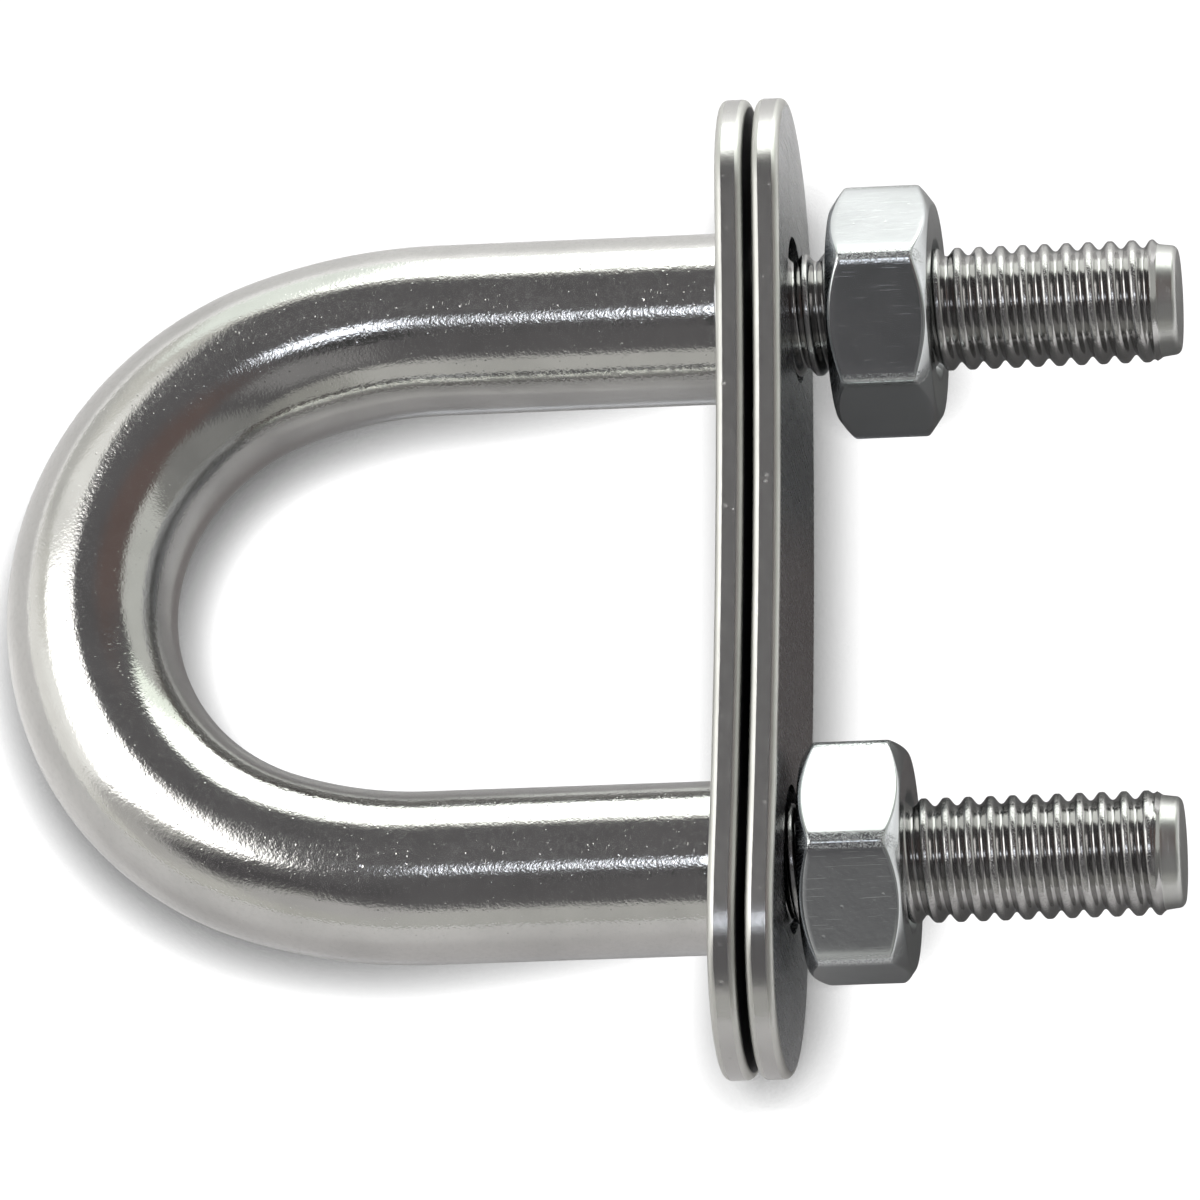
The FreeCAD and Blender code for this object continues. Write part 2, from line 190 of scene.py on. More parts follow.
def object_millimetres(tree: bpy.types.NodeTree) -> Field:
    """A point's place in the piece's own frame, in millimetres."""
    return scaled(tree, take(tree, "ShaderNodeTexCoord", out="Object"), 1 / MM)


# Finishes

MIRROR_ROUGHNESS = 0.02
# waves a millimetre of the unevenness that each part of a finish follows
CLOUD_WAVES = 0.21
PATCH_WAVES = 1.3
SPECKLE_WAVES = 3.2
NICK_WAVES = 9.0
# what a mark does to the metal round it
MARK_ROUGHENS = 0.08
MARK_DARKENS = 0.1
SCRATCH_SHOWS = 0.6
SPECKLE_FLOOR = 0.35


class Coordinate(Enum):
    """What the marks on a finish follow."""

    OBJECT = "the piece's own frame"
    FLOW = "along and round the bar"


@dataclass(frozen=True)
class Scratches:
    """Fine lines in one direction, lengths in millimetres."""

    length: float
    width: float
    depth: float
    share: float
    angle: float = 0.0
    across: str = "Z"


@dataclass(frozen=True)
class Dents:
    """Small round dents, one to a cell at most, lengths in millimetres."""

    spacing: float
    radius: float
    depth: float
    share: float = 0.6


@dataclass(frozen=True)
class Surface:
    """What a finish is at a point: relief in millimetres, roughness, colour and share of dull glare."""

    relief: Field
    roughness: Field
    colour: Field
    glare: Field

    def towards(self, other: "Surface", share: Field) -> "Surface":
        """This surface where the share is 0, and the other where it is 1."""
        mix = {0: share, 6: self.colour, 7: other.colour}
        return Surface(
            self.relief + (other.relief - self.relief) * share,
            self.roughness + (other.roughness - self.roughness) * share,
            take(share.tree, "ShaderNodeMix", mix, out=2, data_type="RGBA"),
            self.glare + (other.glare - self.glare) * share,
        )


def new_metal(name: str) -> bpy.types.Material:
    """Start a metal material.

    Args:
        name: the finish's name.

    Returns:
        The material, with a coat that gives the dull glare of tiny marks.
    """
    made = bpy.data.materials.new(name)
    made.use_nodes = True
    shader = made.node_tree.nodes["Principled BSDF"]
    for socket, value in {"Metallic": 1.0, "Coat Roughness": 0.36, "Coat IOR": 2.2}.items():
        shader.inputs[socket].default_value = value
    return made


def coat(made: bpy.types.Material, surface: Surface) -> bpy.types.Material:
    """Put a surface on a metal material.

    Args:
        made: the material.
        surface: what the finish is at each point, in the material's own tree.

    Returns:
        The material.
    """
    tree = made.node_tree
    shader = tree.nodes["Principled BSDF"]
    bump = take(tree, "ShaderNodeBump", {"Height": surface.relief, "Distance": MM})
    feed(tree, shader.inputs["Normal"], bump)
    feed(tree, shader.inputs["Roughness"], surface.roughness.clamp(MIRROR_ROUGHNESS, 1.0))
    feed(tree, shader.inputs["Base Color"], surface.colour)
    feed(tree, shader.inputs["Coat Weight"], surface.glare.clamp(0.0, 1.0))
    return made


@dataclass(frozen=True)
class Steel:
    """A steel surface: its colour, its gloss and the marks on it, in millimetres.

    The grain and the swell are unevennesses, each a size and a depth. The nicks lie where the piece's
    own attribute says that its edges and crests are worn.
    """

    name: str
    colour: tuple[float, float, float]
    gloss: float
    haze: float
    grain: tuple[float, float]
    swell: tuple[float, float] = (0.9, 0.0)
    dents: tuple[Dents, ...] = ()
    scratches: tuple[Scratches, ...] = ()
    nicks: float = 0.0
    stain: float = 0.12
    glare: float = 0.1
    spark: float = 0.4
    follows: Coordinate = Coordinate.OBJECT

    def material(self) -> bpy.types.Material:
        """Build the finish's node material, once.

        Returns:
            The material.
        """
        known = bpy.data.materials.get(self.name)
        if known:
            return known
        made = new_metal(self.name)
        return coat(made, self.surface(made.node_tree))

    def surface(self, tree: bpy.types.NodeTree) -> Surface:
        """Lay the finish's marks over one another.

        Args:
            tree: the material's node tree.

        Returns:
            The surface.
        """
        place = self._coordinates(tree)
        relief = self._uneven(tree, place, *self.grain, 2.0)
        if self.swell[1]:
            relief = relief + self._uneven(tree, place, *self.swell, 1.0)
        marks = 0.0
        for dents in self.dents:
            hollow = self._hollow(tree, place, dents)
            relief = relief - hollow * dents.depth
            marks = hollow + marks
        for scratch in self.scratches:
            line = self._scratch(tree, place, scratch)
            relief = relief - line * scratch.depth
            marks = line * SCRATCH_SHOWS + marks
        if self.nicks:
            worn = take(tree, "ShaderNodeAttribute", out="Fac", attribute_name="wear")
            nick = self._noise(tree, place, (NICK_WAVES,) * 3, 2.0).ease(0.5, 0.6) * worn
            relief = relief - nick * self.nicks
            marks = nick + marks

        cloud = self._noise(tree, place, (CLOUD_WAVES,) * 3, 2.0)
        patch = self._noise(tree, place, (PATCH_WAVES,) * 3, 2.0)
        roughness = self.gloss + (cloud - 0.5) * self.haze + (patch - 0.5) * self.haze * 0.6
        roughness = roughness + marks * MARK_ROUGHENS
        tone = 1.0 - cloud.ease(0.35, 0.75) * self.stain - marks * MARK_DARKENS
        speckle = self._noise(tree, place, (SPECKLE_WAVES,) * 3, 2.0).ease(0.44, 0.66)
        glare = (speckle + SPECKLE_FLOOR) * self.glare + marks * self.spark
        return Surface(relief, roughness, scaled(tree, self.colour, tone), glare)

    def _coordinates(self, tree: bpy.types.NodeTree) -> Field:
        """Where the marks are placed, in millimetres.

        Args:
            tree: the material's node tree.

        Returns:
            The place that the finish's marks follow.
        """
        if self.follows is Coordinate.OBJECT:
            return object_millimetres(tree)
        flow = take(tree, "ShaderNodeAttribute", out="Vector", attribute_name="flow")
        return scaled(tree, flow, 1 / MM)

    def _noise(self, tree: bpy.types.NodeTree, place: Field, stretch: tuple, detail: float) -> Field:
        """Cloudy noise.

        Args:
            tree: the material's node tree.
            place: where, in millimetres.
            stretch: the waves a millimetre along each axis.
            detail: how many finer layers it has.

        Returns:
            The noise, about 0.5 on average.
        """
        spot = take(tree, "ShaderNodeVectorMath", {0: place, 1: stretch}, operation="MULTIPLY")
        inputs = {"Vector": spot, "Scale": 1.0, "Detail": detail, "Roughness": 0.55}
        return take(tree, "ShaderNodeTexNoise", inputs)

    def _uneven(
        self, tree: bpy.types.NodeTree, place: Field, size: float, depth: float, detail: float
    ) -> Field:
        """An unevenness of one size and depth."""
        return self._noise(tree, place, (1 / size,) * 3, detail) * depth

    def _scratch(self, tree: bpy.types.NodeTree, place: Field, scratch: Scratches) -> Field:
        """Draw scratches.

        Args:
            tree: the material's node tree.
            place: where, in millimetres.
            scratch: their sizes and direction.

        Returns:
            1 on a scratch's line, 0 elsewhere.
        """
        turned = take(
            tree,
            "ShaderNodeVectorRotate",
            {"Vector": place, "Angle": math.radians(scratch.angle)},
            rotation_type=f"{scratch.across}_AXIS",
        )
        fine = 1 / scratch.width
        streak = self._noise(tree, turned, (1 / scratch.length, fine, fine), 1.0)
        return streak.ease(1 - scratch.share, 1 - scratch.share + 0.06)

    def _hollow(self, tree: bpy.types.NodeTree, place: Field, dents: Dents) -> Field:
        """Scatter dents.

        Args:
            tree: the material's node tree.
            place: where, in millimetres.
            dents: their sizes.

        Returns:
            1 at the bottom of a dent, 0 on the open surface.
        """
        inputs = {"Vector": place, "Scale": 1 / dents.spacing, "Randomness": 1.0}
        cells = add_node(tree, "ShaderNodeTexVoronoi", inputs)
        near = Field(tree, cells.outputs["Distance"])
        chance = take(tree, "ShaderNodeSeparateColor", {0: Field(tree, cells.outputs["Color"])})
        reach = chance.ease(1 - dents.share, 1.0) * (dents.radius / dents.spacing) + 1e-4
        return 1.0 - near.ease(0.0, reach)


BAR_POLISH = Steel(
    name="bar_polish",
    colour=(0.57, 0.565, 0.55),
    gloss=0.085,
    haze=0.04,
    grain=(0.17, 0.0085),
    swell=(0.7, 0.008),
    dents=(
        Dents(spacing=0.3, radius=0.09, depth=0.008, share=0.5),
        Dents(spacing=1.3, radius=0.14, depth=0.014, share=0.5),
    ),
    scratches=(Scratches(length=0.45, width=0.08, depth=0.003, share=0.27, angle=82),),
    glare=0.3,
    follows=Coordinate.FLOW,
)
THREAD_ROLLED = Steel(
    name="thread_rolled",
    colour=(0.44, 0.435, 0.43),
    gloss=0.13,
    haze=0.08,
    grain=(0.12, 0.004),
    dents=(Dents(spacing=0.5, radius=0.08, depth=0.008, share=0.5),),
    nicks=0.004,
    stain=0.25,
)
TIP_TURNED = Steel(
    name="tip_turned",
    colour=(0.54, 0.545, 0.53),
    gloss=0.3,
    haze=0.06,
    grain=(0.2, 0.003),
    scratches=(Scratches(length=0.8, width=0.06, depth=0.002, share=0.4, angle=90),),
    follows=Coordinate.FLOW,
)
PLATE_FACE = Steel(
    name="plate_face",
    colour=(0.46, 0.47, 0.49),
    gloss=0.24,
    haze=0.08,
    grain=(0.3, 0.002),
    dents=(Dents(spacing=1.4, radius=0.1, depth=0.004),),
    scratches=(Scratches(length=2.2, width=0.12, depth=0.0011, share=0.46, angle=90, across="Y"),),
)
PLATE_EDGE = Steel(
    name="plate_edge",
    colour=(0.6, 0.6, 0.575),
    gloss=0.42,
    haze=0.08,
    grain=(0.3, 0.003),
    dents=(Dents(spacing=0.7, radius=0.17, depth=0.008, share=0.7),),
)
# painted shade: the faces between the two plates are coloured near black, where they lie in each other's
# shade
PLATE_GAP_SHADE = Steel(name="plate_gap", colour=(0.1, 0.1, 0.11), gloss=0.5, haze=0.1, grain=(0.3, 0.002))
PLATE_RIM = Steel(
    name="plate_rim",
    colour=(0.52, 0.515, 0.505),
    gloss=0.21,
    haze=0.05,
    grain=(0.25, 0.003),
    swell=(0.9, 0.012),
    dents=(Dents(spacing=0.8, radius=0.24, depth=0.01, share=0.6),),
    glare=0.02,
    spark=1.0,
)
NUT_BRIGHT = Steel(
    name="nut_bright",
    colour=(0.525, 0.543, 0.55),
    gloss=0.13,
    haze=0.05,
    grain=(0.35, 0.0022),
    swell=(1.4, 0.003),
    glare=0.05,
    dents=(Dents(spacing=0.6, radius=0.14, depth=0.004, share=0.6),),
    scratches=(Scratches(length=2.5, width=0.09, depth=0.0011, share=0.325),),
    nicks=0.016,
)


# Forms turned from a profile

CORNER_STEPS = 4
SHARP_EDGE = math.radians(50)
MERGED_WITHIN = 0.001 * MM


@dataclass(frozen=True)
class ProfilePoint:
    """A point of a turned profile in millimetres, and how it moves where a hexagon's corner reaches out."""

    along: float
    radius: float
    corner_along: float = 0.0
    corner_out: float = 0.0


def mixed(first: ProfilePoint, second: ProfilePoint, share: float) -> ProfilePoint:
    """The point at a share of the way from the first to the second."""
    keep = 1 - share
    return ProfilePoint(
        first.along * keep + second.along * share,
        first.radius * keep + second.radius * share,
        first.corner_along * keep + second.corner_along * share,
        first.corner_out * keep + second.corner_out * share,
    )


def stepped(first: ProfilePoint, second: ProfilePoint, step: float) -> list[ProfilePoint]:
    """Lay points along a line of the profile.

    Args:
        first: the line's first point.
        second: its last.
        step: how far apart the points may be.

    Returns:
        The points, from the first to just before the second.
    """
    run = math.hypot(second.along - first.along, second.radius - first.radius)
    count = max(1, math.ceil(run / step))
    return [mixed(first, second, i / count) for i in range(count)]


def rounded(
    before: ProfilePoint, corner: ProfilePoint, after: ProfilePoint, radius: float
) -> list[ProfilePoint]:
    """A corner of the profile, eased over a radius.

    Args:
        before: the profile's point before the corner.
        corner: the corner.
        after: the point after it.
        radius: how far from the corner the easing starts, in millimetres.

    Returns:
        The eased corner's points, from the first side to the second.
    """
    reach = [
        min(0.45, radius / max(math.hypot(p.along - corner.along, p.radius - corner.radius), 1e-9))
        for p in (before, after)
    ]
    start, end = (
        ProfilePoint(m.along, m.radius, corner.corner_along, corner.corner_out)
        for m in (mixed(corner, before, reach[0]), mixed(corner, after, reach[1]))
    )
    shares = [i / CORNER_STEPS for i in range(CORNER_STEPS + 1)]
    return [mixed(mixed(start, corner, t), mixed(corner, end, t), t) for t in shares]


class TurnedForm(ABC):
    """A piece whose surface is a profile carried round an axis, made by a Geometry Nodes tree.

    The tree lays a grid with a row for each profile point and a column for each step round the axis,
    and a subclass says where a grid point goes.
    """

    name: str
    columns: int

    @abstractmethod
    def profile(self) -> list[ProfilePoint]:
        """The profile's points, in order."""

    @abstractmethod
    def sizes(self) -> dict[str, float]:
        """The tree's named inputs."""

    @abstractmethod
    def set_out(self, along: Field, radius: Field, corner: Field, angle: Field, size: dict) -> Field:
        """Where a grid point goes.

        Args:
            along: the profile point's place along the axis.
            radius: its distance from the axis.
            corner: how it moves where a hexagon's corner reaches out.
            angle: the column's angle round the axis.
            size: the tree's named inputs.

        Returns:
            The grid point's position.
        """

    @abstractmethod
    def wear(self, along: Field, corner: Field, angle: Field, size: dict) -> Field:
        """How worn a grid point is, from 0 to 1, with the arguments of set_out."""

    def finishes(self, along: Field, size: dict) -> list[tuple[Field | None, Steel]]:
        """The finishes, each with the faces that take it. None is every face."""
        return [(None, NUT_BRIGHT)]

    def build(self) -> bpy.types.Object:
        """Make the piece.

        Returns:
            The finished object, at the origin, with a plain mesh.
        """
        source = self._profile_object()
        tree, identifiers = self._tree()
        modifier = source.modifiers.new(tree.name, "NODES")
        modifier.node_group = tree
        for name, value in self.sizes().items():
            modifier[identifiers[name]] = value
        graph = bpy.context.evaluated_depsgraph_get()
        mesh = bpy.data.meshes.new_from_object(
            source.evaluated_get(graph), preserve_all_data_layers=True, depsgraph=graph
        )
        source.modifiers.remove(modifier)
        bpy.data.objects.remove(source)
        mesh.name = self.name
        piece = bpy.data.objects.new(self.name, mesh)
        bpy.context.scene.collection.objects.link(piece)
        return piece

    def _profile_object(self) -> bpy.types.Object:
        """Lay out the profile as a line of points.

        Returns:
            The line's object, with each point's corner movement as an attribute.
        """
        points = self.profile()
        mesh = bpy.data.meshes.new(f"{self.name}_profile")
        corners = [(i, i + 1) for i in range(len(points) - 1)]
        mesh.from_pydata([(p.along * MM, 0.0, p.radius * MM) for p in points], corners, [])
        moves = mesh.attributes.new("corner", "FLOAT_VECTOR", "POINT")
        for item, point in zip(moves.data, points):
            item.vector = (point.corner_along, 0.0, point.corner_out)
        source = bpy.data.objects.new(mesh.name, mesh)
        bpy.context.scene.collection.objects.link(source)
        return source

    def _tree(self) -> tuple[bpy.types.NodeTree, dict[str, str]]:
        """Build the Geometry Nodes tree.

        Returns:
            The tree, and the identifier of each named input.
        """
        tree = bpy.data.node_groups.new(f"turn_{self.name}", "GeometryNodeTree")
        face = tree.interface
        face.new_socket("Profile", in_out="INPUT", socket_type="NodeSocketGeometry")
        face.new_socket("Piece", in_out="OUTPUT", socket_type="NodeSocketGeometry")
        identifiers = {
            name: face.new_socket(name, in_out="INPUT", socket_type="NodeSocketFloat").identifier
            for name in self.sizes()
        }
        source = tree.nodes.new("NodeGroupInput")
        size = {name: Field(tree, source.outputs[name]) for name in self.sizes()}
        profile = Field(tree, source.outputs["Profile"])

        rows = take(tree, "GeometryNodeAttributeDomainSize", {0: profile}, component="MESH")
        around = size["Columns"]
        grid = take(tree, "GeometryNodeMeshGrid", {"Vertices X": around + 1.0, "Vertices Y": rows})
        index = take(tree, "GeometryNodeInputIndex")
        column = (index / rows).math("FLOOR")
        row = index - column * rows
        spot = take(tree, "GeometryNodeInputPosition")
        move = take(
            tree, "GeometryNodeInputNamedAttribute", {"Name": "corner"}, data_type="FLOAT_VECTOR"
        )
        spot, corner = (
            take(
                tree,
                "GeometryNodeSampleIndex",
                {"Geometry": profile, "Value": value, "Index": row},
                data_type="FLOAT_VECTOR",
                domain="POINT",
            )
            for value in (spot, move)
        )
        along, _, radius = parts(spot)
        # the seam lies underneath
        angle = column / around * FULL_TURN - math.pi / 2
        placed = self.set_out(along, radius, corner, angle, size)
        skin = take(tree, "GeometryNodeSetPosition", {"Geometry": grid, "Position": placed})

        flow = self._on_points(tree, combine(tree, along, angle * radius, radius), "FLOAT_VECTOR")
        skin = take(
            tree,
            "GeometryNodeStoreNamedAttribute",
            {"Geometry": skin, "Name": "flow", "Value": flow},
            data_type="FLOAT_VECTOR",
            domain="CORNER",
        )
        worn = {"Geometry": skin, "Name": "wear", "Value": self.wear(along, corner, angle, size)}
        skin = take(
            tree, "GeometryNodeStoreNamedAttribute", worn, data_type="FLOAT", domain="POINT"
        )
        for faces, finish in self.finishes(along, size):
            inputs = {"Geometry": skin, "Material": finish.material()}
            if faces:
                inputs["Selection"] = self._on_points(tree, faces, "FLOAT").math("GREATER_THAN", 0.5)
            skin = take(tree, "GeometryNodeSetMaterial", inputs)
        skin = take(tree, "GeometryNodeMergeByDistance", {"Geometry": skin, "Distance": MERGED_WITHIN})
        skin = self._shade(tree, skin)
        skin = take(tree, "GeometryNodeRealizeInstances", {0: skin})
        result = tree.nodes.new("NodeGroupOutput")
        tree.links.new(skin.socket, result.inputs["Piece"])
        return tree, identifiers

    @staticmethod
    def _on_points(tree: bpy.types.NodeTree, value: Field, kind: str) -> Field:
        """The field worked out on the grid's points, for use on its faces and corners."""
        return take(tree, "GeometryNodeFieldOnDomain", {0: value}, data_type=kind, domain="POINT")

    @staticmethod
    def _shade(tree: bpy.types.NodeTree, skin: Field) -> Field:
        """Shade the skin smooth, but for its sharp edges.

        Args:
            tree: the Geometry Nodes tree.
            skin: the piece's skin.

        Returns:
            The shaded skin.
        """
        smooth = {"Geometry": skin, "Shade Smooth": True}
        smooth = take(tree, "GeometryNodeSetShadeSmooth", smooth, domain="FACE")
        sharp = take(tree, "GeometryNodeInputMeshEdgeAngle").math("GREATER_THAN", SHARP_EDGE)
        return take(
            tree,
            "GeometryNodeSetShadeSmooth",
            {"Geometry": smooth, "Selection": sharp, "Shade Smooth": False},
            domain="EDGE",
        )


@dataclass
class BentBar(TurnedForm):
    """The round bar, bent to a U, with a shoulder and a threaded stud at each end."""

    name: str = "bar_with_studs"
    columns: int = 80
    stud_spacing: float = 33.5
    eye_reach: float = 41.5
    bar_diameter: float = 9.8
    crown_bend_radius: float = 16.1
    side_bend_radius: float = 27.0
    shoulder_bevel: float = 0.25
    crest_diameter: float = 7.0
    stud_length: float = 25.8
    tip_diameter: float = 6.45
    tip_length: float = 1.1
    tip_bevel: float = 0.2
    tip_taper: float = 0.12
    thread_pitch: float = 1.25
    thread_depth: float = 0.45
    root_share: float = 0.04
    flank_share: float = 0.82
    thread_run_in: tuple[float, float] = (1.0, 2.2)
    thread_run_out: tuple[float, float] = (0.5, 0.2)
    rows_per_turn: int = 22
    bar_step: float = 0.7
    tip_step: float = 0.8
    shoulder_round: float = 0.1
    land_round: float = 0.15
    tip_round: float = 0.12

    @property
    def side_turn(self) -> float:
        """The angle that each side arc sweeps."""
        gap = self.side_bend_radius - self.crown_bend_radius
        return math.acos((self.side_bend_radius - self.stud_spacing / 2) / gap)

    @property
    def crown_centre(self) -> float:
        """The crown arc's centre along X."""
        return -(self.eye_reach - self.bar_diameter / 2 - self.crown_bend_radius)

    @property
    def crown_end(self) -> float:
        """How far along the bar, from the crown's apex, the crown arc ends."""
        return self.crown_bend_radius * (math.pi / 2 - self.side_turn)

    @property
    def side_end(self) -> float:
        """How far along the bar, from the crown's apex, the side arc ends."""
        return self.crown_end + self.side_bend_radius * self.side_turn

    @property
    def shoulder(self) -> float:
        """How far along the bar, from the crown's apex, the shoulder lies."""
        gap = self.side_bend_radius - self.crown_bend_radius
        leg = -(self.crown_centre + gap * math.sin(self.side_turn))
        return self.side_end + leg

    def profile(self) -> list[ProfilePoint]:
        """The straightened bar's half section, from one tip to the other."""
        bar, crest, tip = self.bar_diameter / 2, self.crest_diameter / 2, self.tip_diameter / 2
        start, end = self.shoulder, self.shoulder + self.stud_length
        step = end - self.tip_length
        apex = ProfilePoint(0, bar)
        bevel_in = ProfilePoint(start - self.shoulder_bevel, bar)
        bevel_out = ProfilePoint(start, bar - self.shoulder_bevel)
        root = ProfilePoint(start, crest)
        crest_end = ProfilePoint(step - (crest - tip), crest)
        land = ProfilePoint(step, tip)
        land_end = ProfilePoint(end - self.tip_bevel, tip - self.tip_taper)
        rim = ProfilePoint(end, tip - self.tip_taper - self.tip_bevel)
        pole = ProfilePoint(end, 0)
        half = [
            *stepped(apex, bevel_in, self.bar_step),
            *rounded(apex, bevel_in, bevel_out, self.shoulder_round),
            *rounded(bevel_in, bevel_out, root, self.shoulder_round),
            *stepped(root, crest_end, self.thread_pitch / self.rows_per_turn),
            crest_end,
            *rounded(crest_end, land, land_end, self.land_round),
            *rounded(land, land_end, rim, self.tip_round),
            *rounded(land_end, rim, pole, self.tip_round),
            *stepped(mixed(rim, pole, 0.2), pole, self.tip_step),
            pole,
        ]
        mirrored = [ProfilePoint(-p.along, p.radius) for p in reversed(half)]
        return mirrored + half[1:]

    def sizes(self) -> dict[str, float]:
        """The tree's named inputs, lengths in metres."""
        return {
            "Columns": self.columns,
            "Crown centre": self.crown_centre * MM,
            "Crown bend radius": self.crown_bend_radius * MM,
            "Side bend radius": self.side_bend_radius * MM,
            "Crown end": self.crown_end * MM,
            "Side end": self.side_end * MM,
            "Shoulder": self.shoulder * MM,
            "Thread pitch": self.thread_pitch * MM,
            "Thread depth": self.thread_depth * MM,
            "Thread end": (self.stud_length - self.tip_length - 0.3) * MM,
            "Tip": (self.stud_length - self.tip_length - 0.02) * MM,
        }

    def set_out(self, along: Field, radius: Field, corner: Field, angle: Field, size: dict) -> Field:
        """Cut the thread's helix, then carry the point round the bends."""
        side, far = along.math("SIGN"), along.math("ABSOLUTE")
        ridge, cut = self._ridge(side, far - size["Shoulder"], angle, size)
        radius = radius - size["Thread depth"] * cut * (1.0 - ridge)

        crown, bend = size["Crown bend radius"], size["Side bend radius"]
        crown_turn = far.math("MINIMUM", size["Crown end"]) / crown
        in_side = (far - size["Crown end"]).clamp(0.0, size["Side end"] - size["Crown end"])
        turn = crown_turn + in_side / bend
        in_leg = (far - size["Side end"]).math("MAXIMUM", 0.0)
        cos_crown, cos_turn = crown_turn.math("COSINE"), turn.math("COSINE")
        sin_crown, sin_turn = crown_turn.math("SINE"), turn.math("SINE")
        x = size["Crown centre"] - crown * cos_crown + bend * (cos_crown - cos_turn) + in_leg
        y = crown * sin_crown + bend * (sin_turn - sin_crown)
        out = radius * angle.math("COSINE")
        return combine(
            along.tree, x - out * cos_turn, side * (y + out * sin_turn), radius * angle.math("SINE")
        )

    def _ridge(self, side: Field, beyond: Field, angle: Field, size: dict) -> tuple[Field, Field]:
        """The thread at a point: a right-hand helix with rounded crests and roots.

        Args:
            side: 1 on the upper stud, -1 on the lower.
            beyond: the distance past the shoulder.
            angle: the angle round the stud, from the side away from the other stud.
            size: the tree's named inputs.

        Returns:
            The height in the thread, from 0 at the root to 1 at the crest, and how fully the thread is
            cut there.
        """
        turns = beyond / size["Thread pitch"] - side * angle / FULL_TURN
        ridge = turns.zigzag().ease(self.root_share, self.root_share + self.flank_share)
        run_in = beyond.ease(*(v * MM for v in self.thread_run_in))
        before, after = (v * MM for v in self.thread_run_out)
        run_out = 1.0 - beyond.ease(size["Thread end"] - before, size["Thread end"] + after)
        return ridge, run_in * run_out

    def wear(self, along: Field, corner: Field, angle: Field, size: dict) -> Field:
        """The threads' crests are worn."""
        side, beyond = along.math("SIGN"), along.math("ABSOLUTE") - size["Shoulder"]
        ridge, cut = self._ridge(side, beyond, angle, size)
        return ridge.ease(0.8, 0.95) * cut

    def finishes(self, along: Field, size: dict) -> list[tuple[Field | None, Steel]]:
        """Polish on the bar and its shoulders, the rolled finish on the studs, turned tips."""
        beyond = along.math("ABSOLUTE") - size["Shoulder"]
        on_stud = beyond.math("GREATER_THAN", 0.05 * MM)
        on_tip = beyond.math("GREATER_THAN", size["Tip"])
        return [(None, BAR_POLISH), (on_stud, THREAD_ROLLED), (on_tip, TIP_TURNED)]


